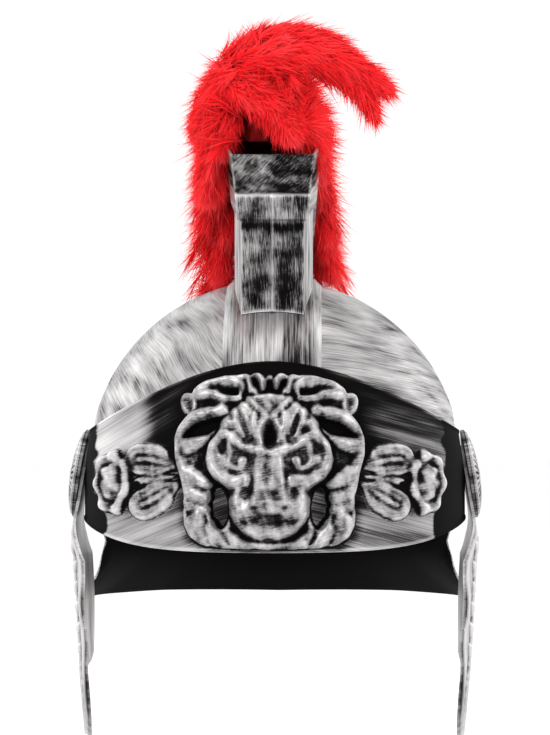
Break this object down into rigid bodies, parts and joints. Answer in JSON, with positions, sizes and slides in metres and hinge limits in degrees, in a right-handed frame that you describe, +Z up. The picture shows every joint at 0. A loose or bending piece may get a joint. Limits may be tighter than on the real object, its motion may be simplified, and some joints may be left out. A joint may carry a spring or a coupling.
{
  "type": "plumed legionary helmet",
  "caption": "Hollow round helmet with a relief brow plate, flared neck guard, arched crest box with a feather plume, and hinged cheek guards.",
  "frame": {"origin": "inside of the helmet's crown, where it sits on the head", "axes": "+Z up along the plume, -Y to the front of the helmet, +X to the right in a front view"},
  "size_m": [0.2278, 0.2908, 0.3961],
  "materials": {
    "painted_plastic": "black moulded plastic, dry-brushed with silver paint, satin",
    "feather": "soft dyed down feathers, matt"
  },
  "bodies": {
    "helmet": {"shell": "painted_plastic", "brow_plate": "painted_plastic", "crest_box": "painted_plastic", "plume": "feather", "boss_left": "painted_plastic", "boss_right": "painted_plastic"},
    "cheek_left": {"cheek_guard_left": "painted_plastic"},
    "cheek_right": {"cheek_guard_right": "painted_plastic"}
  },
  "joints": [
    {"name": "cheek_left_swing", "type": "hinge", "parent": "helmet", "child": "cheek_left", "pos_m": [-0.1015, 0, -0.105], "axis": [-0.9877, 0, 0.1564], "range_deg": [-12, 45]},
    {"name": "cheek_right_swing", "type": "hinge", "parent": "helmet", "child": "cheek_right", "pos_m": [0.1015, 0, -0.105], "axis": [-0.9877, 0, -0.1564], "range_deg": [-12, 45]}
  ]
}
